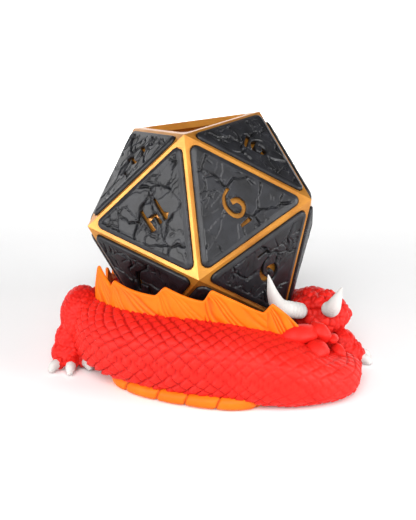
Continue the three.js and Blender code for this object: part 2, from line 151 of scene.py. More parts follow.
def catmull(points, share, power=0.0):
    """Points on a Catmull-Rom line at shares 0..1 of its stations; power 0.5 makes it centripetal."""
    points = np.asarray(points, float)
    share = np.clip(np.asarray(share, float), 0, 1) * (len(points) - 1)
    first = np.minimum(share.astype(int), len(points) - 2)
    t = (share - first)[..., None]
    padded = np.vstack([2 * points[0] - points[1], points, 2 * points[-1] - points[-2]])
    p0, p1, p2, p3 = (padded[first + i] for i in range(4))
    knots = ((p0, p1), (p1, p2), (p2, p3))
    d0, d1, d2 = (np.linalg.norm(b - a, axis=-1, keepdims=True) ** power for a, b in knots)
    m1 = ((p1 - p0) / d0 - (p2 - p0) / (d0 + d1) + (p2 - p1) / d1) * d1
    m2 = ((p2 - p1) / d1 - (p3 - p1) / (d1 + d2) + (p3 - p2) / d2) * d1
    return (p1 + m1 * t + (3 * (p2 - p1) - 2 * m1 - m2) * t**2 + (2 * (p1 - p2) + m1 + m2) * t**3)


def headings(points, share, power=0.0):
    step = 1e-3
    ahead = catmull(points, np.minimum(share + step, 1), power)
    along = ahead - catmull(points, np.maximum(share - step, 0), power)
    return along / np.linalg.norm(along, axis=-1, keepdims=True)


# ---- The die's own geometry -----------------------------------------------------------------
def die_corners():
    """The twelve corners in the object's frame, named as pairs of opposite letters."""
    third = 2 * math.pi / 3
    rim = DIE_EDGE / math.sqrt(3)
    waist, height = rim * GOLDEN, FACE_INRADIUS / GOLDEN
    rings = {"A": (rim, DIE_INRADIUS, third), "B": (rim, DIE_INRADIUS, -third), "C": (rim, DIE_INRADIUS, 0),
             "D": (waist, height, math.pi), "E": (waist, height, -third / 2), "F": (waist, -height, -third)}
    lean = Matrix.Rotation(-DIE_LEAN, 3, "Y")
    corners = {}
    for letter, (radius, z, turn) in rings.items():
        angle = DIE_YAW + turn
        corner = lean @ Vector((radius * math.cos(angle), radius * math.sin(angle), z))
        corners[letter] = DIE_CENTRE + corner
        corners[letter.lower()] = DIE_CENTRE - corner
    return corners


CORNERS = die_corners()
FACES = {20: "ABD", 14: "FBD", 6: "BFE", 16: "CBE", 8: "CAB",
         4: "cDF", 9: "aFE", 11: "Fca", 19: "aEd", 18: "cDe"}
FACES.update({21 - number: letters.swapcase() for number, letters in list(FACES.items())})
OPEN_FACES = (8, 15)


def face_matrix(letters):
    """A face's own axes: x across it, y to its first corner, z outwards."""
    top, second, third = (CORNERS[letter] for letter in letters)
    centre = (top + second + third) / 3
    outward = (centre - DIE_CENTRE).normalized()
    up = (top - centre).normalized()
    across = up.cross(outward)
    turn = Matrix((across, up, outward)).transposed()
    return Matrix.Translation(centre * MM) @ turn.to_4x4()


def lift_planes():
    """The half spaces whose common inside the die sweeps when it is lifted straight up."""
    planes = []
    down = {}
    for letters in FACES.values():
        corners = [CORNERS[letter] for letter in letters]
        normal = (sum(corners, Vector()) / 3 - DIE_CENTRE).normalized()
        key = frozenset(letters)
        down[key] = normal.z < 0
        if down[key]:
            planes.append((normal, normal.dot(corners[0]) + PANEL_PROUD + LIFT_MARGIN))
    for one in down:
        for other in down:
            shared = one & other
            if down[one] and not down[other] and len(shared) == 2:
                a, b = (CORNERS[letter] for letter in shared)
                normal = (b - a).cross(Vector((0, 0, 1))).normalized()
                if normal.dot(a - DIE_CENTRE) < 0:
                    normal = -normal
                planes.append((normal, normal.dot(a) + LIFT_MARGIN))
    return np.array([n for n, _ in planes]), np.array([d for _, d in planes])


PLANE_NORMALS, PLANE_OFFSETS = lift_planes()


def clear_of_die(points):
    """Moves points out of the space that the die is lifted through."""
    points = np.array(points, float)
    for _ in range(3):
        depth = points @ PLANE_NORMALS.T - PLANE_OFFSETS
        nearest = depth.argmax(axis=1)
        shallow = depth[np.arange(len(points)), nearest]
        inside = shallow < 0
        points[inside] -= shallow[inside, None] * PLANE_NORMALS[nearest[inside]]
    return points


# ---- Materials ------------------------------------------------------------------------------
def new_material(name, roughness, metallic=0.0, specular=0.5, coat=0.0):
    material = bpy.data.materials.new(name)
    material.use_nodes = True
    tree = material.node_tree
    shader = tree.nodes["Principled BSDF"]
    shader.inputs["Metallic"].default_value = metallic
    shader.inputs["Specular IOR Level"].default_value = specular
    shader.inputs["Coat Weight"].default_value = coat
    shader.inputs["Roughness"].default_value = roughness
    return material, tree, shader


def coordinates(tree, scale):
    source = tree.nodes.new("ShaderNodeTexCoord")
    mapping = tree.nodes.new("ShaderNodeMapping")
    mapping.inputs["Scale"].default_value = (scale, scale, scale) if np.isscalar(scale) else scale
    tree.links.new(source.outputs["Object"], mapping.inputs["Vector"])
    return mapping.outputs["Vector"]


def noise(tree, vector, scale, detail=4.0, roughness=0.55):
    node = tree.nodes.new("ShaderNodeTexNoise")
    node.inputs["Scale"].default_value = scale
    node.inputs["Detail"].default_value = detail
    node.inputs["Roughness"].default_value = roughness
    tree.links.new(vector, node.inputs["Vector"])
    return node.outputs["Fac"]


def ramp(tree, value, stops):
    node = tree.nodes.new("ShaderNodeValToRGB")
    elements = node.color_ramp.elements
    while len(elements) < len(stops):
        elements.new(0.5)
    for element, (place, color) in zip(elements, stops):
        element.position = place
        element.color = (*color, 1)
    tree.links.new(value, node.inputs["Fac"])
    return node.outputs["Color"]


def math_node(tree, operation, a, b):
    node = tree.nodes.new("ShaderNodeMath")
    node.operation = operation
    for socket, value in zip(node.inputs, (a, b)):
        if isinstance(value, (int, float)):
            socket.default_value = value
        else:
            tree.links.new(value, socket)
    return node.outputs["Value"]


def mixed(tree, factor, a, b, blend="MIX"):
    node = tree.nodes.new("ShaderNodeMix")
    node.data_type = "RGBA"
    node.blend_type = blend
    color_sockets = [s for s in node.inputs if s.type == "RGBA"]
    factor_socket = next(s for s in node.inputs if s.type == "VALUE")
    for socket, value in zip([factor_socket, *color_sockets], (factor, a, b)):
        if isinstance(value, (int, float)):
            socket.default_value = value
        elif isinstance(value, tuple):
            socket.default_value = (*value, 1)
        else:
            tree.links.new(value, socket)
    return next(s for s in node.outputs if s.type == "RGBA")


def attribute(tree, name):
    node = tree.nodes.new("ShaderNodeAttribute")
    node.attribute_name = name
    return node.outputs["Fac"]


def bump(tree, shader, height, strength, distance):
    node = tree.nodes.new("ShaderNodeBump")
    node.inputs["Strength"].default_value = strength
    node.inputs["Distance"].default_value = distance
    tree.links.new(height, node.inputs["Height"])
    tree.links.new(node.outputs["Normal"], shader.inputs["Normal"])


def print_lines(tree, pitch=0.0009):
    """Fine level lines, one for each printed layer."""
    vector = coordinates(tree, 1.0)
    wave = tree.nodes.new("ShaderNodeTexWave")
    wave.wave_type = "BANDS"
    wave.bands_direction = "Z"
    wave.inputs["Scale"].default_value = 0.31 / pitch / 1.55
    wave.inputs["Distortion"].default_value = 0.4
    tree.links.new(vector, wave.inputs["Vector"])
    return wave.outputs["Fac"]


def silk_gold():
    material, tree, shader = new_material("silk_gold", 0.36, metallic=0.45, specular=0.6)
    vector = coordinates(tree, 1.0)
    patches = noise(tree, vector, 55)
    color = ramp(tree, patches, [(0.3, (0.40, 0.145, 0.015)), (0.7, (0.60, 0.26, 0.035))])
    tree.links.new(color, shader.inputs["Base Color"])
    grain = noise(tree, vector, 900, 3)
    rough = math_node(tree, "MULTIPLY_ADD", grain, 0.2)
    tree.links.new(rough, shader.inputs["Roughness"])
    rough.node.inputs[2].default_value = 0.24
    lines = print_lines(tree)
    height = math_node(tree, "ADD", lines, math_node(tree, "MULTIPLY", grain, 0.5))
    bump(tree, shader, height, 0.25, 0.00006)
    return material


def stone_black():
    material, tree, shader = new_material("black_stone", 0.37, specular=0.37)
    vector = coordinates(tree, 1.0)
    blotches = noise(tree, vector, 120, 6)
    color = ramp(tree, blotches, [(0.35, (0.005, 0.005, 0.006)), (0.65, (0.014, 0.0145, 0.018))])
    # Painted shade: the cracks, where the relief is low, are painted near black.
    crack = ramp(tree, attribute(tree, "relief"), [(0.15, (1, 1, 1)), (0.75, (0, 0, 0))])
    color = mixed(tree, crack, color, (0.001, 0.001, 0.001))
    tree.links.new(color, shader.inputs["Base Color"])
    grain = noise(tree, vector, 1500, 4)
    rough = math_node(tree, "MULTIPLY_ADD", grain, 0.3)
    rough.node.inputs[2].default_value = 0.25
    tree.links.new(rough, shader.inputs["Roughness"])
    fine = math_node(tree, "ADD", grain, noise(tree, vector, 420, 5))
    bump(tree, shader, fine, 0.35, 0.00012)
    return material


def plain_black():
    material, tree, shader = new_material("tray_black", 0.5)
    vector = coordinates(tree, 1.0)
    patches = noise(tree, vector, 200, 5)
    color = ramp(tree, patches, [(0.35, (0.014, 0.014, 0.016)), (0.65, (0.028, 0.028, 0.032))])
    tree.links.new(color, shader.inputs["Base Color"])
    bump(tree, shader, noise(tree, vector, 1400, 4), 0.4, 0.0001)
    return material


def coloured_plastic(name, low, high, shadow, relief_attribute=None, roughness=0.52, fine=1.0, specular=0.17):
    """Satin plastic with soft colour patches, and painted shade in the low parts of its relief."""
    material, tree, shader = new_material(name, roughness, specular=specular)
    vector = coordinates(tree, 1.0)
    color = ramp(tree, noise(tree, vector, 70, 4), [(0.3, low), (0.7, high)])
    # Painted shade: where the relief attribute is low, the colour goes towards the shadow colour.
    if relief_attribute:
        relief = ramp(tree, attribute(tree, relief_attribute), [(0.0, (1, 1, 1)), (0.9, (0, 0, 0))])
        color = mixed(tree, relief, color, shadow)
    tree.links.new(color, shader.inputs["Base Color"])
    grain = noise(tree, vector, 1100, 4)
    rough = math_node(tree, "MULTIPLY_ADD", grain, 0.25)
    rough.node.inputs[2].default_value = roughness - 0.12
    tree.links.new(rough, shader.inputs["Roughness"])
    height = math_node(tree, "ADD", grain, math_node(tree, "MULTIPLY", print_lines(tree), 0.35))
    bump(tree, shader, height, 0.22 * fine, 0.0001)
    return material


MATERIALS = {
    "gold": silk_gold(),
    "stone": stone_black(),
    "tray": plain_black(),
    # The third colour of red and orange is painted shade for the low parts of their relief.
    "red": coloured_plastic("red_scales", (0.60, 0.011, 0.007), (0.69, 0.018, 0.011),
                            (0.38, 0.003, 0.002), "relief"),
    "orange": coloured_plastic("orange_web", (0.68, 0.120, 0.002), (0.78, 0.160, 0.004),
                               (0.42, 0.045, 0.001), "relief"),
    "white": coloured_plastic("white_claw", (0.50, 0.49, 0.47), (0.60, 0.59, 0.57), (0.36, 0.35, 0.33)),
}


def shown_as_cad():
    """The pieces whose CAD shape is right keep it and take a finish."""
    for node in ("tower_shell", "baffle_ramp", "exit_ramp"):
        paint_node(node, "gold")
    for node in ("tray_floor", "corner_seat_front_left", "corner_seat_front_right", "corner_seat_rear"):
        paint_node(node, "tray")


def paint_node(node, material):
    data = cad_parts[node].data
    data.materials.clear()
    data.materials.append(MATERIALS[material])


# ---- Geometry Nodes helpers -----------------------------------------------------------------
def new_tree(name, inputs):
    """A geometry tree with a mesh input, its own named inputs and a mesh output."""
    tree = bpy.data.node_groups.new(name, "GeometryNodeTree")
    tree.interface.new_socket("Geometry", in_out="INPUT", socket_type="NodeSocketGeometry")
    tree.interface.new_socket("Geometry", in_out="OUTPUT", socket_type="NodeSocketGeometry")
    for label, kind, default in inputs:
        socket = tree.interface.new_socket(label, in_out="INPUT", socket_type="NodeSocket" + kind)
        if default is not None:
            socket.default_value = default
    return tree, tree.nodes.new("NodeGroupInput"), tree.nodes.new("NodeGroupOutput")


def node_in(tree, kind, values=None, **settings):
    """A node with its settings, and its inputs set or linked by name or place."""
    node = tree.nodes.new(kind)
    for key, value in settings.items():
        setattr(node, key, value)
    for key, value in (values or {}).items():
        socket = node.inputs[key]
        if isinstance(value, bpy.types.NodeSocket):
            tree.links.new(value, socket)
        else:
            socket.default_value = value
    return node


def apply_tree(obj, tree, **inputs):
    """Runs a geometry tree on an object with the named inputs, and keeps the plain mesh."""
    modifier = obj.modifiers.new(tree.name, "NODES")
    modifier.node_group = tree
    for item in tree.interface.items_tree:
        if item.item_type == "SOCKET" and item.in_out == "INPUT" and item.name in inputs:
            modifier[item.identifier] = inputs[item.name]
    return baked(obj)


def scalar(tree, operation, *values):
    return node_in(tree, "ShaderNodeMath", dict(enumerate(values)), operation=operation).outputs[0]


def end_tree(tree, geometry, material_socket, output):
    """Every tree ends in Realize Instances and Set Material."""
    real = node_in(tree, "GeometryNodeRealizeInstances", {"Geometry": geometry}).outputs["Geometry"]
    painted = node_in(tree, "GeometryNodeSetMaterial", {"Geometry": real, "Material": material_socket})
    tree.links.new(painted.outputs["Geometry"], output.inputs["Geometry"])


def named_value(tree, name):
    """A point attribute, read by its name."""
    node = node_in(tree, "GeometryNodeInputNamedAttribute", {"Name": name}, data_type="FLOAT")
    return node.outputs["Attribute"]


def place_of(tree):
    return node_in(tree, "GeometryNodeInputPosition").outputs[0]


def noise_value(tree, vector, scale, detail=2.0, **more):
    values = {"Vector": vector, "Scale": scale, "Detail": detail, **more}
    return node_in(tree, "ShaderNodeTexNoise", values).outputs["Fac"]


def mapped(tree, value, low, high, first=0.0, last=1.0, curve="SMOOTHSTEP"):
    """Takes low..high to first..last."""
    values = {"Value": value, "From Min": low, "From Max": high, "To Min": first, "To Max": last}
    return node_in(tree, "ShaderNodeMapRange", values, interpolation_type=curve).outputs["Result"]


def vector_math(tree, operation, values):
    return node_in(tree, "ShaderNodeVectorMath", values, operation=operation)


def about_zero(tree, value, size):
    """A value from 0 to 1 moved to lie about zero, and scaled."""
    return scalar(tree, "MULTIPLY", scalar(tree, "SUBTRACT", value, 0.5), size)


def product(tree, *values):
    result = values[0]
    for value in values[1:]:
        result = scalar(tree, "MULTIPLY", result, value)
    return result


def along_normal(tree, height):
    normal = node_in(tree, "GeometryNodeInputNormal").outputs[0]
    return vector_math(tree, "SCALE", {0: normal, "Scale": height}).outputs[0]


def end_skin(tree, source, output, offset, relief):
    """Moves the points, stores the relief that the material reads, and ends the tree."""
    values = {"Geometry": source.outputs["Geometry"], "Offset": offset}
    raised = node_in(tree, "GeometryNodeSetPosition", values).outputs["Geometry"]
    values = {"Geometry": raised, "Name": "relief", "Value": relief}
    stored = node_in(tree, "GeometryNodeStoreNamedAttribute", values, data_type="FLOAT", domain="POINT")
    end_tree(tree, stored.outputs["Geometry"], source.outputs["Material"], output)
    return tree


# ---- Stage, light and camera ----------------------------------------------------------------
STAGE_HALF = 2500
BACKDROP_Y = 600
BACKDROP_TOP = 330
LIGHT_AIM = Vector((0, 0, 0.06))
# Each softbox has a place, a width in metres and a power in watts.
SOFTBOXES = {
    "front_light": ((-0.1, -1.0, 0.78), 0.9, 17.5),
    "left_light": ((-1.0, -0.66, 0.30), 0.62, 9.5),
    "right_light": ((1.05, -0.48, 0.28), 0.62, 13.0),
}
CAMERA_PLACE = Vector((0.0009, -0.4842, 0.1848))
CAMERA_PITCH = math.radians(15.72)
LENS = 55.5


def paper_floor():
    left, right = -STAGE_HALF, STAGE_HALF
    corners = [(left, left, 0), (right, left, 0), (right, BACKDROP_Y, 0), (left, BACKDROP_Y, 0)]
    floor = linked_object("floor", corners, [(0, 1, 2, 3)])
    material, tree, shader = new_material("paper", 0.9, specular=0.2)
    patches = noise(tree, coordinates(tree, 1.0), 3)
    color = ramp(tree, patches, [(0.3, (0.90, 0.90, 0.90)), (0.7, (0.93, 0.93, 0.93))])
    tree.links.new(color, shader.inputs["Base Color"])
    floor.data.materials.append(material)


def lit_backdrop():
    left, right = -STAGE_HALF, STAGE_HALF
    corners = [(left, BACKDROP_Y, 0), (right, BACKDROP_Y, 0), (right, BACKDROP_Y, BACKDROP_TOP),
               (left, BACKDROP_Y, BACKDROP_TOP)]
    backdrop = linked_object("backdrop", corners, [(0, 1, 2, 3)])
    material, _, shader = new_material("lit_paper", 0.9, specular=0.2)
    shader.inputs["Base Color"].default_value = (0.9, 0.9, 0.9, 1)
    shader.inputs["Emission Color"].default_value = (1, 1, 1, 1)
    shader.inputs["Emission Strength"].default_value = 0.95
    backdrop.data.materials.append(material)


def dim_world():
    world = bpy.data.worlds.new("studio")
    bpy.context.scene.world = world
    world.use_nodes = True
    background = world.node_tree.nodes["Background"]
    background.inputs["Color"].default_value = (1.0, 1.0, 1.0, 1)
    background.inputs["Strength"].default_value = 0.12
    bpy.context.scene.view_settings.view_transform = "Standard"


def viewing_camera():
    camera = bpy.data.cameras.new("camera")
    camera.lens = LENS
    camera.sensor_width = 36.0
    camera.clip_start = 0.01
    holder = bpy.data.objects.new("camera", camera)
    holder.location = CAMERA_PLACE
    holder.rotation_euler = (math.pi / 2 - CAMERA_PITCH, 0, 0)
    bpy.context.scene.collection.objects.link(holder)
    bpy.context.scene.camera = holder


def softbox(name, place, size, power):
    light = bpy.data.lights.new(name, "AREA")
    light.shape = "SQUARE"
    light.size = size
    light.energy = power
    holder = bpy.data.objects.new(name, light)
    holder.location = place
    holder.rotation_euler = (LIGHT_AIM - Vector(place)).to_track_quat("-Z", "Y").to_euler()
    bpy.context.scene.collection.objects.link(holder)


def stage():
    paper_floor()
    lit_backdrop()
    dim_world()
    viewing_camera()
    for name, (place, size, power) in SOFTBOXES.items():
        softbox(name, place, size, power)


# ---- Numbered stone panels ------------------------------------------------------------------
# Each digit is a few strokes in a box of 9 by 15 mm. A stroke marked round is a smooth line.
DIGITS = {
    "0": [("loop", [(0, 7.3), (-3.9, 4), (-3.9, -4), (0, -7.3), (3.9, -4), (3.9, 4)])],
    "1": [("line", [(0, -7.4), (0.5, 7.4)]), ("line", [(0.6, 7.2), (-2.2, 4.4)])],
    "2": [("round", [(-3.7, 4.2), (-1.5, 7), (2.6, 6.4), (3.4, 2.6), (-0.6, -2.6), (-3.6, -6.6)]),
          ("line", [(-3.9, -6.7), (4, -6.7)])],
    "3": [("round", [(-3.4, 6.6), (1.2, 7), (3.2, 4.2), (0.2, 0.7)]),
          ("round", [(0.2, 0.7), (3.8, -2.2), (1.6, -6.6), (-3.7, -6.2)])],
    "4": [("line", [(3.0, -7.4), (3.2, 7.4)]), ("line", [(-3.4, 0.5), (-3.2, 7.2)]),
          ("line", [(-3.6, 0.4), (3.0, 0.4)])],
    "5": [("line", [(3.5, 6.8), (-2.9, 6.8)]), ("line", [(-2.9, 6.8), (-3.2, 0.9)]),
          ("round", [(-3.2, 0.9), (1.8, 1.4), (3.7, -2.6), (1.2, -6.6), (-3.6, -6.2)])],
    "6": [("round", [(2.8, 6.9), (-1.6, 4.9), (-3.9, 0), (-2.6, -5.4), (1, -6.9), (3.9, -4), (2.9, 0),
                     (-0.4, 0.6)])],
    "7": [("line", [(-3.9, 6.8), (3.8, 6.8)]), ("line", [(3.6, 6.8), (-1.2, -7.2)])],
    "8": [("loop", [(0, 0.6), (-3.2, 3.9), (0, 7.2), (3.2, 3.9)]),
          ("loop", [(0, 0.6), (-3.8, -3.2), (0, -7.2), (3.8, -3.2)])],
}
DIGITS["9"] = [(kind, [(-x, -y) for x, y in points]) for kind, points in DIGITS["6"]]
UNDERLINE = ("line", [(-3.2, -11.2), (3.2, -10.8)])
PANEL_INRADIUS = FACE_INRADIUS - STRUT_HALF_WIDTH - PANEL_GAP
GRAIN_PITCH = 0.5
GRAIN_ROWS = 0.866
GRAIN_JITTER = 0.06
OUTLINE_PITCH = 0.8
DIGIT_WIDTH = 10.2
NARROW_DIGIT_WIDTH = 5.6
SINGLE_DIGIT_SIZE = 1.16
NUMERAL_RISE = 0.6
# A stroke's least half width, what its direction adds, and how it tapers from its start to its end.
STROKE_HALF = 0.95
STROKE_SWELL = 0.45
STROKE_TAPER = (0.8, 1.12)
ROUND_STROKE = 1.2


def stroke_line(kind, points):
    """The middle line of one stroke."""
    if kind == "loop":
        ends = 1 / (len(points) + 2)
        return catmull(np.vstack([points[-1:], points, points[:2]]), np.linspace(ends, 1 - ends, 25))
    return catmull(points, np.linspace(0, 1, 18 if kind == "round" else 4))


def stroke_strip(kind, points):
    """A stroke's left and right edges, and whether it closes on itself."""
    line = stroke_line(kind, points)
    along = np.gradient(line, axis=0)
    along /= np.linalg.norm(along, axis=1, keepdims=True)
    if kind == "loop":
        along[0] = along[-1] = (along[0] + along[-1]) / np.linalg.norm(along[0] + along[-1])
        line[-1] = line[0]
    side = np.stack([-along[:, 1], along[:, 0]], axis=1)
    half = STROKE_HALF + STROKE_SWELL * np.abs(np.sin(np.arctan2(along[:, 1], along[:, 0]) - 0.5))
    half *= ROUND_STROKE if kind == "round" else 1.0
    if kind != "loop":
        half *= np.linspace(*STROKE_TAPER, len(half))
    return line + side * half[:, None], line - side * half[:, None], kind == "loop"


def numeral_strips(number):
    """The numeral's strokes as strips of four-sided pieces, wide or narrow by their direction."""
    text = str(number)
    widths = [NARROW_DIGIT_WIDTH if digit == "1" else DIGIT_WIDTH for digit in text]
    size = SINGLE_DIGIT_SIZE if len(text) == 1 else 1.0
    x = -sum(widths) / 2
    strips = []
    for digit, width in zip(text, widths):
        for kind, points in DIGITS[digit] + ([UNDERLINE] if text in ("6", "9") else []):
            strips.append(stroke_strip(kind, np.array(points, float) * size + (x + width / 2, NUMERAL_RISE)))
        x += width
    return strips


def inside_quad(points, quad):
    """Which points lie inside a four-sided piece."""
    centre = quad.mean(axis=0)
    result = np.ones(len(points), bool)
    for a, b in zip(quad, np.roll(quad, -1, axis=0)):
        normal = np.array([a[1] - b[1], b[0] - a[0]])
        side = np.sign((centre - a) @ normal)
        result &= ((points - a) @ normal) * side > 0
    return result


def rim_distance(points):
    """How far inside the panel's round-cornered outline each point lies."""
    reach = 2 * (PANEL_INRADIUS - PANEL_CORNER)
    corners = [reach * np.array([math.cos(a), math.sin(a)])
               for a in (math.pi / 2 + k * 2 * math.pi / 3 for k in range(3))]
    nearest = np.full(len(points), 1e9)
    inside = np.ones(len(points), bool)
    for a, b in zip(corners, corners[1:] + corners[:1]):
        edge = b - a
        share = np.clip(((points - a) @ edge) / (edge @ edge), 0, 1)
        nearest = np.minimum(nearest, np.linalg.norm(points - a - share[:, None] * edge, axis=1))
        inside &= (edge[0] * (points[:, 1] - a[1]) - edge[1] * (points[:, 0] - a[0])) > 0
    return np.where(inside, nearest, -nearest) + PANEL_CORNER


def panel_outline():
    """The outline's points, close together on its straight edges too."""
    loop = []
    for corner in range(3):
        middle = math.pi / 2 + corner * 2 * math.pi / 3
        centre = 2 * (PANEL_INRADIUS - PANEL_CORNER) * np.array([math.cos(middle), math.sin(middle)])
        for turn in np.linspace(-math.pi / 3, math.pi / 3, 9):
            loop.append(centre + PANEL_CORNER * np.array([math.cos(middle + turn), math.sin(middle + turn)]))
    dense = []
    for a, b in zip(loop, loop[1:] + loop[:1]):
        count = max(1, int(np.linalg.norm(b - a) / OUTLINE_PITCH))
        dense += [a + (b - a) * k / count for k in range(count)]
    return np.array(dense)


def triangulated(points, edges, holes):
    """A flat triangulation of the outline without its numeral holes, as points and triangles."""
    verts, _, faces, *_ = delaunay_2d_cdt([Vector(p) for p in points], edges, [], 0, 1e-5)
    verts = np.array([tuple(v) for v in verts])
    faces = np.array([f for f in faces if len(f) == 3])
    centres = verts[faces].mean(axis=1)
    keep = rim_distance(centres) > 0
    for quad in holes:
        keep &= ~inside_quad(centres, quad)
    return verts, faces[keep]


def numeral_edges(strips, count):
    """The strips' points, the edges between them counted from count, and their four-sided pieces."""
    points, edges, quads = [], [], []
    for left, right, closed in strips:
        for chain in (left, right):
            points.append(chain)
            edges += [(count + k, count + k + 1) for k in range(len(chain) - 1)]
            count += len(chain)
        if not closed:
            start = count - 2 * len(left)
            edges += [(start, start + len(left)), (start + len(left) - 1, count - 1)]
        quads += [np.array([left[k], right[k], right[k + 1], left[k + 1]]) for k in range(len(left) - 1)]
    return points, edges, quads


def grain_points(quads):
    """Close points over the face, so that it can take relief, clear of the numeral's edges."""
    steps = np.arange(-44, 44, GRAIN_PITCH)
    rows = enumerate(steps * GRAIN_ROWS)
    grid = np.array([(x + (row % 2) * GRAIN_PITCH / 2, y) for row, y in rows for x in steps])
    grid += RNG.uniform(-GRAIN_JITTER, GRAIN_JITTER, grid.shape)
    grid = grid[rim_distance(grid) > 0.3]
    for quad in quads:
        grown = quad + (quad - quad.mean(axis=0)) * 0.12
        grid = grid[~inside_quad(grid, grown)]
    return grid


def rim_edges(faces):
    """The edges that only one triangle has."""
    used = dict.fromkeys(edge for a, b, c in faces for edge in ((a, b), (b, c), (c, a)))
    return [(a, b) for a, b in used if (b, a) not in used]


def panel_mesh(number):
    """A closed plate with its numeral cut right through."""
    outline = panel_outline()
    ring = [(k, (k + 1) % len(outline)) for k in range(len(outline))]
    points, edges, quads = numeral_edges(numeral_strips(number), len(outline))
    verts, faces = triangulated(np.vstack([outline, *points, grain_points(quads)]), ring + edges, quads)
    rim = rim_edges(faces)
    rim_points = sorted({a for edge in rim for a in edge})
    place = {v: k for k, v in enumerate(rim_points)}
    low_verts, low_faces = triangulated(verts[rim_points], [(place[a], place[b]) for a, b in rim], quads)
    top_count = len(verts)
    xyz = np.vstack([np.column_stack([verts, np.full(top_count, PANEL_TOP)]),
                     np.column_stack([low_verts, np.full(len(low_verts), PANEL_GAP - PANEL_RECESS)])])
    polygons = [tuple(face) for face in faces] + [tuple(top_count + face[::-1]) for face in low_faces]
    for a, b in rim:
        polygons.append((b, a, top_count + place[a], top_count + place[b]))
    obj = linked_object(f"stone_panel_{number:02d}", xyz, polygons)
    low = np.zeros(len(low_verts))
    point_attribute(obj, "rim", np.concatenate([rim_distance(verts), low]))
    point_attribute(obj, "top", np.concatenate([np.ones(top_count), low]))
    return obj


PLATE_SCALE = 50.0
CHIP_SCALE = 118.0
TERRACES = 8.0
BORDER_WIDTH = 2.6


def stone_face_tree():
    """Weathered stone: plates at several levels with deep bent cracks, inside a plain sloping border."""
    tree, source, output = new_tree("stone_face", [
        ("Crack Depth", "Float", 0.0019), ("Crack Width", "Float", 0.038), ("Plate Step", "Float", 0.0009),
        ("Grain", "Float", 0.00012), ("Offset", "Vector", None), ("Material", "Material", None)])
    given = source.outputs
    moved = vector_math(tree, "ADD", {0: place_of(tree), 1: given["Offset"]}).outputs[0]
    values = {"Vector": moved, "Scale": 52.0, "Detail": 2.5, "Roughness": 0.55}
    bend = node_in(tree, "ShaderNodeTexNoise", values).outputs["Color"]
    shift = vector_math(tree, "SUBTRACT", {0: bend, 1: (0.5, 0.5, 0.5)}).outputs[0]
    shift = vector_math(tree, "SCALE", {0: shift, "Scale": 0.020}).outputs[0]
    warped = vector_math(tree, "ADD", {0: moved, 1: shift}).outputs[0]

    def plates(scale, feature):
        values = {"Vector": warped, "Scale": scale, "Randomness": 1.0}
        return node_in(tree, "ShaderNodeTexVoronoi", values, feature=feature, voronoi_dimensions="2D").outputs

    def cracks(scale, width):
        return mapped(tree, plates(scale, "DISTANCE_TO_EDGE")["Distance"], 0.0, width, 1.0, 0.0)

    mask = noise_value(tree, moved, 48.0)
    chipped = mapped(tree, mask, 0.5, 0.58, curve="LINEAR")
    cracked = mapped(tree, mask, 0.36, 0.42, curve="LINEAR")
    chip_width = product(tree, given["Crack Width"], 1.4)
    large = product(tree, cracks(PLATE_SCALE, given["Crack Width"]), cracked)
    small = product(tree, cracks(CHIP_SCALE, chip_width), chipped, 0.6)
    layers = noise_value(tree, moved, 36.0, 2.0, Roughness=0.5, Distortion=0.7)
    terraces = product(tree, layers, TERRACES)
    terrace_edge = mapped(tree, scalar(tree, "FRACT", terraces), 0.0, 0.13, 1.0, 0.0)
    terrace_edge = product(tree, terrace_edge, chipped, 0.75)
    crack = scalar(tree, "MAXIMUM", scalar(tree, "MAXIMUM", large, small), terrace_edge)

    level = node_in(tree, "ShaderNodeSeparateXYZ", {0: plates(PLATE_SCALE, "F1")["Color"]}).outputs[0]
    level = scalar(tree, "SUBTRACT", level, 0.6)
    terrace = scalar(tree, "SUBTRACT", scalar(tree, "FLOOR", terraces), TERRACES / 2)
    level = product(tree, scalar(tree, "ADD", level, product(tree, terrace, 0.22)), given["Plate Step"])
    grain = about_zero(tree, noise_value(tree, moved, 520.0, 5.0, Roughness=0.6), given["Grain"])
    depth = product(tree, crack, given["Crack Depth"])
    relief = scalar(tree, "SUBTRACT", scalar(tree, "ADD", level, grain), depth)

    rim = named_value(tree, "rim")
    inner = mapped(tree, rim, 2.5, 3.3)
    slope = mapped(tree, rim, 0.0, BORDER_WIDTH, -0.0008, -0.0001, curve="LINEAR")
    border = scalar(tree, "ADD", slope, mapped(tree, rim, 0.0, 0.5, -0.0005, 0.0))
    height = node_in(tree, "ShaderNodeMix", {0: inner, 2: border, 3: relief}).outputs[0]
    height = product(tree, scalar(tree, "MINIMUM", height, 0.0004), named_value(tree, "top"))
    lift = node_in(tree, "ShaderNodeCombineXYZ", {"Z": height}).outputs[0]
    # The stored relief is low in the cracks inside the border, where the stone material paints shade.
    return end_skin(tree, source, output, lift, scalar(tree, "SUBTRACT", 1.0, product(tree, crack, inner)))


def stone_panels():
    """A panel on each closed face, each with its own stretch of stone."""
    tree = stone_face_tree()
    for number, letters in sorted(FACES.items()):
        if number in OPEN_FACES:
            continue
        stretch = (number * 0.173, number * -0.091, number * 0.037)
        panel = apply_tree(panel_mesh(number), tree, Offset=stretch, Material=MATERIALS["stone"])
        panel.data.transform(face_matrix(letters))
        smooth_shaded(panel)
        finish_piece(panel, "tower", "black_stone_plastic", MATERIALS["stone"], f"panel_{number:02d}")


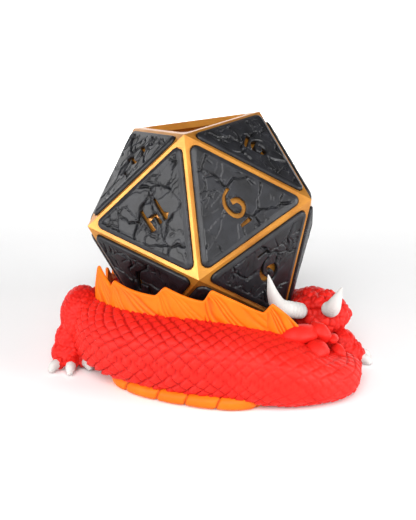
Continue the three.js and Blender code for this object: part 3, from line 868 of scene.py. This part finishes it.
# ---- The dragon's forms ---------------------------------------------------------------------
# Each station is x, y, half width, low and high.
TORSO = [(-66, -14, 12, 4, 33), (-62, -48, 15, 6, 39), (-43, -71, 21, 6, 40), (-14, -83, 25, 4.5, 40),
         (17, -88, 27, 1.5, 38), (43, -89, 28, 0, 32.3), (62, -84, 23.3, 0, 22), (72, -75, 14.5, 0, 18),
         (78, -63, 9, 0, 14)]
BELLY = [(x, y, half, 0, BELLY_HEIGHT) for x, y, half in (
    (-48, -58, 14), (-29, -76, 19), (-5, -85, 22.5), (19, -90, 22.5), (36, -90, 12))]
TAIL = [(-66, -24, 12, 0, 33), (-65, 8, 11, 0, 29), (-61, 40, 11, 0, 25), (-42, 72, 10, 0, 21),
        (-8, 88, 9, 0, 18), (28, 86, 8, 0, 14), (52, 72, 6, 0, 10), (61, 57, 3, 0, 6)]


# How square a body's section is, how much of its rows crowd its ends, and its columns the outer side.
SQUARENESS = 0.8
END_CROWDING = 0.25
SIDE_CROWDING = 0.55


def powered(value, power):
    return np.sign(value) * np.abs(value) ** power


def form_grid(stations, rows, columns, cap=0.12, under=SQUARENESS, inset=0.0):
    """Points over a body along stations, and their lengths along it and round it from its top line."""
    stations = np.array(stations, float)
    shares = (1 - np.cos(np.linspace(0, math.pi, rows))) / 2 * END_CROWDING
    shares += np.linspace(0, 1, rows) * (1 - END_CROWDING)
    sizes = catmull(stations[:, 2:], shares)
    line = catmull(stations[:, :2], shares, 0.5)
    heading = headings(stations[:, :2], shares, 0.5)
    side = np.stack([heading[:, 1], -heading[:, 0]], axis=1)
    near_end = np.clip(np.minimum(shares, 1 - shares) / cap, 0, 1)
    full = np.sqrt(1 - (1 - near_end) ** 2)
    turn = np.linspace(0, 1, columns, endpoint=False)
    # Columns are closest on the outer side, and start below the body.
    angle = -math.pi / 2 + 2 * math.pi * turn - SIDE_CROWDING * np.sin(2 * math.pi * turn)
    power = np.where(np.sin(angle) < 0, under, SQUARENESS)
    across = powered(np.cos(angle), power)
    up = powered(np.sin(angle), power)
    half = (sizes[:, 0] - inset) * full
    half_height = ((sizes[:, 2] - sizes[:, 1]) / 2 - inset) * full
    middle = (sizes[:, 2] + sizes[:, 1]) / 2
    xy = line[:, None] + side[:, None] * (half[:, None] * across)[..., None]
    z = middle[:, None] + half_height[:, None] * up
    grid = np.dstack([xy, z])
    step = np.linalg.norm(np.diff(line, axis=0), axis=1)
    along = np.concatenate([[0], np.cumsum(step)])
    ring = np.linalg.norm(np.diff(grid, axis=1), axis=2)
    girth = np.concatenate([np.zeros((rows, 1)), np.cumsum(ring, axis=1)], axis=1)
    top = np.argmin(np.abs(angle - math.pi / 2))
    girth -= girth[:, top:top + 1]
    return grid, along, girth


def grid_object(name, grid):
    """A tube of four-sided faces through rows of points, open at its two ends."""
    rows, columns = grid.shape[:2]
    faces = []
    for r in range(rows - 1):
        for c in range(columns):
            n = (c + 1) % columns
            faces.append((r * columns + c, r * columns + n, (r + 1) * columns + n, (r + 1) * columns + c))
    return linked_object(name, grid.reshape(-1, 3), faces)


def scale_skin_tree():
    """Overlapping diamond scales on a lattice that follows the body, fading into soft folds."""
    tree, source, output = new_tree("scale_skin", [
        ("Height", "Float", 0.0015), ("Groove", "Float", 0.17), ("Tilt", "Float", 1.2),
        ("Fold", "Float", 0.0005), ("Material", "Material", None)])
    given = source.outputs
    position = place_of(tree)
    wobble = about_zero(tree, noise_value(tree, position, 90.0), 0.55)
    first = scalar(tree, "ADD", named_value(tree, "lattice_a"), wobble)
    second = scalar(tree, "SUBTRACT", named_value(tree, "lattice_b"), wobble)
    fade = named_value(tree, "fade")
    shares = [scalar(tree, "FRACT", value) for value in (first, second)]
    to_edge = [scalar(tree, "MINIMUM", share, scalar(tree, "SUBTRACT", 1.0, share)) for share in shares]
    body = mapped(tree, scalar(tree, "MINIMUM", *to_edge), 0.0, given["Groove"])

    cell = {"X": scalar(tree, "FLOOR", first), "Y": scalar(tree, "FLOOR", second)}
    cell = node_in(tree, "ShaderNodeCombineXYZ", cell).outputs[0]
    chance = node_in(tree, "ShaderNodeTexWhiteNoise", {"Vector": cell}, noise_dimensions="2D")
    size = scalar(tree, "ADD", product(tree, chance.outputs["Value"], 0.5), 0.6)
    lean = scalar(tree, "SUBTRACT", 1.0, product(tree, scalar(tree, "ADD", *shares), 0.5))
    lean = scalar(tree, "ADD", 0.45, product(tree, lean, given["Tilt"]))
    scale = product(tree, product(tree, body, size), product(tree, lean, given["Height"]), fade)

    stretched = {"X": product(tree, first, 0.5), "Y": product(tree, second, 0.22)}
    stretched = node_in(tree, "ShaderNodeCombineXYZ", stretched).outputs[0]
    folds = about_zero(tree, noise_value(tree, stretched, 2.2, 3.0, Distortion=0.8), given["Fold"])
    rough = about_zero(tree, noise_value(tree, position, 650.0, 3.0), 0.00012)
    height = scalar(tree, "ADD", scale, scalar(tree, "ADD", folds, rough))
    height = scalar(tree, "SUBTRACT", height, 0.0005)
    # Painted shade: the stored relief is low in the grooves between scales, which the red material paints
    # darker.
    groove = product(tree, scalar(tree, "SUBTRACT", 1.0, body), fade)
    return end_skin(tree, source, output, along_normal(tree, height), scalar(tree, "SUBTRACT", 1.0, groove))


def scaled_body(name, stations, tree, node, rows, columns, pitch, fade, **form):
    """A body with scales. pitch and fade give the scales' size and strength at shares of its length."""
    grid, along, girth = form_grid(stations, rows, columns, **form)
    obj = grid_object(name, grid)
    size = np.interp(along / along[-1], *pitch)
    run = np.concatenate([[0], np.cumsum(np.diff(along) / size[:-1])])
    across = girth / size[:, None]
    strength = np.repeat(np.interp(along / along[-1], *fade)[:, None], grid.shape[1], axis=1)
    point_attribute(obj, "lattice_a", (run[:, None] + across).ravel())
    point_attribute(obj, "lattice_b", (run[:, None] - across).ravel())
    point_attribute(obj, "fade", strength.ravel())
    tidy_mesh(obj, POLE_WELD)
    obj = apply_tree(obj, tree, Material=MATERIALS["red"])
    settle(obj)
    finish_piece(obj, "dragon", "red_plastic", MATERIALS["red"], node)


def settle(obj):
    """Keeps a piece off the die's path and above the table."""
    points = clear_of_die(points_of(obj))
    points[:, 2] = np.maximum(points[:, 2], TABLE_GAP)
    set_points(obj, points)
    smooth_shaded(obj)


BELLY_PLATE = 15.0
BELLY_SWELL = 2.2
PLATE_BOW = 0.35
BOW_GIRTH = 20
JOINT_DEPTH = 0.9
PLATE_CROWN = 0.5


def belly():
    """The belly strip: bowed plates with pressed joints between them."""
    grid, along, girth = form_grid(BELLY, 260, 64, cap=0.2, inset=-BELLY_SWELL)
    plate = along[:, None] / BELLY_PLATE + PLATE_BOW * np.abs(girth) / BOW_GIRTH
    joint = np.abs((plate % 1) - 0.5) * 2
    press = smoothstep(0.86, 1.0, joint) * JOINT_DEPTH
    crown = (1 - joint**2) * PLATE_CROWN
    outward = grid - grid.mean(axis=1, keepdims=True)
    outward /= np.linalg.norm(outward, axis=2, keepdims=True) + 1e-9
    obj = grid_object("belly_strip", grid + outward * (crown - press - 0.3)[..., None])
    # Painted shade: the relief is low at the pressed joints, which the orange material paints darker.
    point_attribute(obj, "relief", (1 - smoothstep(0.88, 1.0, joint)).ravel())
    tidy_mesh(obj, POLE_WELD)
    settle(obj)
    finish_piece(obj, "dragon", "orange_plastic", MATERIALS["orange"], "belly_plates")


# ---- Fins -----------------------------------------------------------------------------------
# A fin runs from start to stop on its body's top line. Each tip has its share of the fin and its height.
CREST = dict(start=0.10, stop=0.72, first=1.0, valley=11, end=0.25, sink=6,
             tips=[(0.065, 21), (0.175, 15.5), (0.39, 16.5), (0.55, 17.5), (0.775, 15.5)])
TAIL_FIN = dict(start=0.16, stop=0.85, first=1.7, valley=4, end=0.5, sink=4,
                tips=[(0.02, 12), (0.15, 11.5), (0.29, 11), (0.43, 10), (0.58, 9), (0.72, 8), (0.86, 7)])
TOOTH_RISE = 0.15
TOOTH_SWEEP = 1.7
VALLEY_FADE = 5
RIB_TURN = 0.17
RIB_GROOVE = 0.22
RIB_HEIGHT = 1.25


def tooth_height(share, tips, valley, end, first):
    """The fin's height: each tooth falls in a sweep, then rises steeply to the next tip."""
    places = np.array([tip[0] for tip in tips] + [1.0])
    heights = np.array([tip[1] for tip in tips] + [0.0])
    index = np.clip(np.searchsorted(places, share, side="right") - 1, 0, len(tips) - 1)
    low = valley * (1 + (end - 1) * share**VALLEY_FADE)
    step = np.clip((share - places[index]) / (places[index + 1] - places[index]), 0, 1)
    power = np.where(index == 0, first, TOOTH_SWEEP)
    sweep = low + (heights[index] - low) * np.clip(1 - step / (1 - TOOTH_RISE), 0, 1) ** power
    last = index == len(tips) - 1
    after = np.where(last, low, heights[np.minimum(index + 1, len(tips))])
    rise = np.clip((step - 1 + TOOTH_RISE) / TOOTH_RISE, 0, 1)
    height = sweep + (after - low) * rise
    before = share < places[0]
    return np.where(before, heights[0] * share / places[0], height)


def rounded(edge):
    """The fin's height with its tips and valleys rounded."""
    kernel = np.exp(-np.linspace(-2, 2, 15) ** 2)
    reach = len(kernel) // 2
    padded = np.concatenate([edge[:1].repeat(reach), edge, edge[-1:].repeat(reach)])
    edge = np.convolve(padded, kernel / kernel.sum(), "valid")
    edge[0] = edge[-1] = 0.5
    return edge


def fin_ribs(shape, share, length, level, height):
    """How much of the fin's thickness stays between its grooves, which fan out from each tip."""
    places, heights = np.array(shape["tips"]).T
    owner = np.clip(np.searchsorted(places, share + 0.02, side="right") - 1, 0, None)
    tooth = owner[:, None]
    reach = length[:, None] - np.interp(places, share, length)[owner][:, None] + 5.0
    drop = np.maximum(heights[owner][:, None] - height, 0) + 7.0
    fan = np.arctan2(reach + 5.0 - 0.5 * drop, drop) + 0.006 * drop
    phase = fan / RIB_TURN + 0.18 * np.sin(drop * 0.4) + 0.4 * np.sin(fan * 11 + tooth * 2.1)
    weight = 0.7 + 0.3 * np.sin(np.floor(phase) * 12.99 + tooth * 4.7)
    fade = smoothstep(1.0, 0.8, level) * smoothstep(-shape["sink"], 0, height)
    off_rib = (phase % 1) - 0.5
    return 1 - fade * (0.75 * weight * np.exp(-(off_rib / RIB_GROOVE) ** 2) + 0.25 * np.abs(off_rib))


def fin_half(thickness, share, level):
    """Half the fin's thickness, thinner towards its edge and its two ends."""
    round_edge = np.sqrt(np.clip(1 - ((level - 0.93) / 0.07).clip(0) ** 2, 0.02, 1))
    half = thickness / 2 * (1 - 0.45 * smoothstep(0.3, 1.0, level)) * round_edge
    taper = smoothstep(0, 0.02, share) * smoothstep(1, 0.98, share)
    return half[None, :] * (0.35 + 0.65 * taper[:, None])


def fill_ends(obj):
    bm = bmesh.new()
    bm.from_mesh(obj.data)
    bmesh.ops.holes_fill(bm, edges=[e for e in bm.edges if e.is_boundary])
    bm.to_mesh(obj.data)
    bm.free()


def web_fin(name, node, stations, shape, columns, rows):
    """A webbed sheet along a body's top line, with round tips and ribs that fan out from them."""
    stations = np.array(stations, float)
    share = np.linspace(0, 1, columns)
    level = np.linspace(0, 1, rows)
    top_line = np.column_stack([stations[:, :2], stations[:, 4]])
    along = shape["start"] + (shape["stop"] - shape["start"]) * share
    base = catmull(top_line, along, 0.5)
    heading = headings(top_line[:, :2], along, 0.5)
    side = np.column_stack([heading[:, 1], -heading[:, 0], np.zeros(columns)])
    edge = rounded(tooth_height(share, shape["tips"], shape["valley"], shape["end"], shape["first"]))
    length = np.concatenate([[0], np.cumsum(np.linalg.norm(np.diff(base, axis=0), axis=1))])
    height = -shape["sink"] + (edge[:, None] + shape["sink"]) * level
    ribs = fin_ribs(shape, share, length, level, height)
    out = fin_half(FIN_THICKNESS, share, level) + (ribs - 0.8) * RIB_HEIGHT
    place = base[:, None] + np.array([0, 0, 1]) * height[..., None]
    front = place + side[:, None] * out[..., None]
    back = place - side[:, None] * out[..., None]
    obj = grid_object(name, np.concatenate([front, back[:, ::-1]], axis=1))
    fill_ends(obj)
    # Painted shade: the relief is low in the grooves between ribs, which the orange material paints darker.
    relief = 1 - 0.8 * (1 - ribs) * smoothstep(-1, 1, height)
    point_attribute(obj, "relief", np.concatenate([relief, relief[:, ::-1]], axis=1).ravel())
    tidy_mesh(obj)
    settle(obj)
    finish_piece(obj, "dragon", "orange_plastic", MATERIALS["orange"], node)


# ---- Horns, claws and frill -----------------------------------------------------------------
BLUNT_START = 0.12
BLUNT_END = 0.05
RINGS_ON_HORN = 15


def swept(name, points, radii, rings, around, ridges=0.0, flat=1.0, leaf=0.0):
    """A tapering round piece through a few points, with a closed round end at each side."""
    share = np.linspace(0, 1, rings)
    line = catmull(points, share, 0.5)
    along = headings(points, share, 0.5)
    radius = catmull(np.array(radii, float)[:, None], share)[:, 0]
    ends = np.clip(np.minimum(share / BLUNT_START, (1 - share) / BLUNT_END), 0, 1)
    radius = np.maximum(radius, 0.3) * np.sqrt(1 - (1 - ends) ** 2)
    radius *= 1 + ridges * np.sin(share * 2 * math.pi * RINGS_ON_HORN) * smoothstep(0.8, 0.2, share)
    side = np.cross(along, [0.0, 0.0, 1.0])
    side /= np.linalg.norm(side, axis=1, keepdims=True) + 1e-9
    up = np.cross(side, along)
    angle = np.linspace(0, 2 * math.pi, around, endpoint=False)
    crease = 1 + leaf * (np.abs(np.cos(angle)) ** 9 + 1.2 * np.maximum(np.sin(angle), 0) ** 12)
    grid = (line[:, None] + side[:, None] * (radius[:, None] * np.cos(angle) * crease)[..., None]
            + up[:, None] * (radius[:, None] * np.sin(angle) * flat)[..., None])
    obj = grid_object(name, grid)
    tidy_mesh(obj, POLE_WELD)
    return obj


# Horns and frill pieces have a few points each, and the radii of their taper.
HORNS = {
    "left": ([(57, -50, 32), (49, -54.5, 34.5), (41, -60, 38.5), (37, -64, 46), (33.5, -68, 59.5)],
             [4.4, 4.7, 4.5, 3.4, 0.4]),
    "right": ([(69, -50, 34), (70.5, -57, 36), (72, -60, 41), (75, -62, 50.5)], [4.0, 4.5, 3.6, 0.4]),
}
FRILL = {
    "frill_leaf_left": ([(62, -76, 31), (49, -88, 33.5), (39, -91, 33)], [3.5, 5.8, 5.2, 0.6]),
    "frill_leaf_top": ([(66, -77, 27), (62.5, -81, 32.5), (58, -78.5, 37.5)], [3.5, 4.8, 4.6, 0.8]),
    "frill_leaf_low": ([(64, -82, 22), (59, -91, 26), (56.5, -99, 25)], [3.5, 6, 5.4, 1.4]),
    "frill_bud_upper": ([(72, -68, 25), (69.5, -79, 28), (68.5, -84, 28.5)], [2, 2.9, 2.7, 0.9]),
    "frill_bud_lower": ([(71, -74, 23), (73.5, -80, 21), (76, -83, 17.5)], [2, 3, 2.7, 0.8]),
}
FRILL_SHIFT = 1.4
CLAW_RADII = [CLAW_RADIUS * share for share in (1, 1.05, 0.95, 0.5)]


def horns():
    for side, (points, radii) in HORNS.items():
        obj = swept(f"curved_horn_{side}", points, radii, rings=110, around=48, ridges=0.035)
        settle(obj)
        finish_piece(obj, "dragon", "white_plastic", MATERIALS["white"], f"horn_{side}")


def frill():
    for name, (points, radii) in FRILL.items():
        points = [(x - FRILL_SHIFT, y, z - FRILL_SHIFT) for x, y, z in points]
        obj = swept(f"{name}_skin", points, radii, rings=90, around=72, flat=0.92, leaf=0.1)
        point_attribute(obj, "relief", np.ones(len(obj.data.vertices)))
        settle(obj)
        finish_piece(obj, "dragon", "red_plastic", MATERIALS["red"], name)


def claws(name, leg):
    """A blunt claw at the end of each toe, curving down to the table."""
    toe = leg["toe"]
    reach = [(-CLAW_RADIUS - 1.5, toe + 0.2), (CLAW_LENGTH * 0.22, toe + 0.1),
             (CLAW_LENGTH * 0.62, CLAW_RADIUS * 0.55)]
    for index, (x, y) in enumerate(leg["toes"], 1):
        out = np.array([x - leg["ankle"][0], y - leg["ankle"][1]], float)
        out /= np.linalg.norm(out)
        points = [(x + out[0] * r, y + out[1] * r, z) for r, z in reach]
        obj = swept(f"{name}_talon_{index}", points, CLAW_RADII, rings=40, around=32)
        settle(obj)
        finish_piece(obj, "dragon", "white_plastic", MATERIALS["white"], f"{name}_claw_{index}")


# ---- Fused skin: legs, head and jaw ---------------------------------------------------------
LEGS = {
    "hind_right": dict(ankle=(-77, -50, 5), toes=[(-85, -62), (-76.5, -64.5), (-69, -59)], toe=4.4, folds=0.0,
                       bulk=[((-72, -43, 27), (12.5, 18, 17.5)), ((-78, -49, 14), (9.5, 9, 12)),
                             ((-79, -52, 8), (10.5, 9.5, 7.8))]),
    "fore_right": dict(ankle=(82, -48, 5), toes=[(90, -52), (91, -45.5), (88, -39)], toe=4.0, folds=0.0009,
                       bulk=[((78, -47, 11.5), (8, 9, 8)), ((82, -48, 7.2), (8, 8.5, 6.8))]),
    "fore_left": dict(ankle=(50, 28, 5), toes=[(44, 38), (50.5, 40), (57, 38)], toe=3.8, folds=0.0009,
                      bulk=[((50, 22, 8), (8, 12, 7.8))]),
}
FOLD_RUN = (900.0, 200.0, -500.0)


def egg(bm, centre, halves):
    matrix = Matrix.Translation(Vector(centre) * MM) @ Matrix.Diagonal(Vector((*[h * MM for h in halves], 1)))
    bmesh.ops.create_icosphere(bm, subdivisions=4, radius=1, matrix=matrix)


def limb(bm, start, end, first, last, steps=9):
    for t in np.linspace(0, 1, steps):
        centre = np.array(start) * (1 - t) + np.array(end) * t
        radius = first * (1 - t) + last * t
        egg(bm, centre, (radius, radius, radius))


def pebble_skin_tree():
    """Small round scales and creased skin over a fused form."""
    tree, source, output = new_tree("pebble_skin", [
        ("Scale", "Float", 330.0), ("Height", "Float", 0.0004), ("Crease", "Float", 0.0006),
        ("Folds", "Vector", None), ("Fold Height", "Float", 0.0), ("Material", "Material", None)])
    given = source.outputs
    position = place_of(tree)
    values = {"Vector": position, "Scale": given["Scale"], "Randomness": 0.75}
    cells = node_in(tree, "ShaderNodeTexVoronoi", values, feature="DISTANCE_TO_EDGE")
    body = mapped(tree, cells.outputs["Distance"], 0.0, 0.22)
    creases = about_zero(tree, noise_value(tree, position, 130.0, 3.0, Distortion=0.6), given["Crease"])
    height = scalar(tree, "ADD", product(tree, body, given["Height"]), creases)
    run = vector_math(tree, "DOT_PRODUCT", {0: position, 1: given["Folds"]}).outputs["Value"]
    run = scalar(tree, "ADD", run, product(tree, noise_value(tree, position, 60.0), 9.0))
    fold = scalar(tree, "POWER", scalar(tree, "ABSOLUTE", scalar(tree, "SINE", run)), 0.6)
    height = scalar(tree, "ADD", height, product(tree, fold, given["Fold Height"]))
    # Painted shade: the relief is low at the edges between the small scales, which the red material paints
    # darker.
    relief = scalar(tree, "ADD", 0.45, product(tree, body, 0.55))
    return end_skin(tree, source, output, along_normal(tree, height), relief)


VOXEL = 0.65


def fused(name, build, tree, node, smooth=6, **inputs):
    """Joins the forms that build adds into one closed skin, and gives it its scales."""
    bm = bmesh.new()
    build(bm)
    mesh = bpy.data.meshes.new(name)
    bm.to_mesh(mesh)
    bm.free()
    obj = bpy.data.objects.new(name, mesh)
    bpy.context.scene.collection.objects.link(obj)
    remesh = obj.modifiers.new("remesh", "REMESH")
    remesh.mode = "VOXEL"
    remesh.voxel_size = VOXEL * MM
    soft = obj.modifiers.new("soft", "SMOOTH")
    soft.factor = 0.5
    soft.iterations = smooth
    baked(obj)
    smooth_shaded(obj)
    obj = apply_tree(obj, tree, Material=MATERIALS["red"], **inputs)
    settle(obj)
    finish_piece(obj, "dragon", "red_plastic", MATERIALS["red"], node)


def leg_builder(leg):
    """The eggs of a leg's bulk, and a bent toe to each claw."""
    def build(bm):
        for centre, halves in leg["bulk"]:
            egg(bm, centre, halves)
        ankle = np.array([*leg["ankle"][:2], leg["ankle"][2] + 2.0])
        for x, y in leg["toes"]:
            end = np.array([x, y, leg["toe"]])
            end += (ankle - end) / np.linalg.norm(ankle - end) * 1.8
            knuckle = end * 0.62 + ankle * 0.38 + (0, 0, 1.4)
            limb(bm, ankle, knuckle, leg["toe"] * 1.1, leg["toe"] * 0.98)
            limb(bm, knuckle, end, leg["toe"] * 0.98, leg["toe"] * 0.8)
    return build


# The head's lumps, each with its x, y, z and radius.
HEAD_LUMPS = [(58, -44, 33, 5), (64, -46, 35, 5.2), (71, -45, 34.5, 5), (77, -43, 31.5, 5),
              (80.5, -38, 26, 4.6), (62, -38, 36, 4.2), (69, -38, 36.6, 4.2), (75, -36, 34.4, 4),
              (66, -30, 36, 3.6), (73, -28, 34.4, 3.4), (79, -30, 30, 3.6), (78, -22, 28, 3.2),
              (72, -18, 31, 3), (61, -26, 35, 3.4)]


def head_builder(bm):
    egg(bm, (67.5, -37, 26), (16.5, 18, 11))
    egg(bm, (66, -16, 25), (14, 18, 9))
    egg(bm, (63.5, 6, 19), (10.5, 17, 6.5))
    egg(bm, (61, 20, 17), (8.5, 8.5, 5))
    for x, y, z, r in HEAD_LUMPS:
        egg(bm, (x, y, z), (r, r * 1.1, r * 0.9))
    for side in (-1, 1):
        egg(bm, (66 + side * 11, -14, 26), (3.4, 4.5, 3))
        egg(bm, (61 + side * 3.6, 24, 20), (2.2, 2.4, 2))


def jaw_builder(bm):
    egg(bm, (66, -24, 12), (11, 18, 5))
    egg(bm, (64, 0, 11), (9.5, 17, 4.4))
    egg(bm, (61.5, 18, 10), (7.5, 9, 3.6))


# ---- Everything in its place ----------------------------------------------------------------
stage()
shown_as_cad()
stone_panels()
scales = scale_skin_tree()
scaled_body("torso_skin", TORSO, scales, "torso", 430, 214,
            ([0, 0.2, 0.5, 0.7, 1], [5.4, 6.2, 7.4, 6.4, 5.6]),
            ([0, 0.5, 0.66, 0.8, 1], [1, 1, 0.62, 0.4, 0.42]), under=0.55)
scaled_body("tail_skin", TAIL, scales, "tail", 300, 110, ([0, 0.5, 1], [6.4, 5.4, 3.4]), ([0, 1], [1, 1]))
belly()
web_fin("crest_web", "crest_fin", TORSO, CREST, 560, 60)
web_fin("tail_web", "tail_fin", TAIL, TAIL_FIN, 520, 40)
pebbles = pebble_skin_tree()
for name, leg in LEGS.items():
    fused(f"{name}_paw", leg_builder(leg), pebbles, f"{name}_leg", Scale=330.0, Height=0.0005, Crease=0.0010,
          Folds=FOLD_RUN, **{"Fold Height": leg["folds"]})
    claws(name, leg)
fused("head_skin", head_builder, pebbles, "head", Scale=230.0, Height=0.0007, Crease=0.0018, smooth=4)
fused("jaw_skin", jaw_builder, pebbles, "lower_jaw", Scale=300.0, Height=0.0004, Crease=0.0006)
horns()
frill()
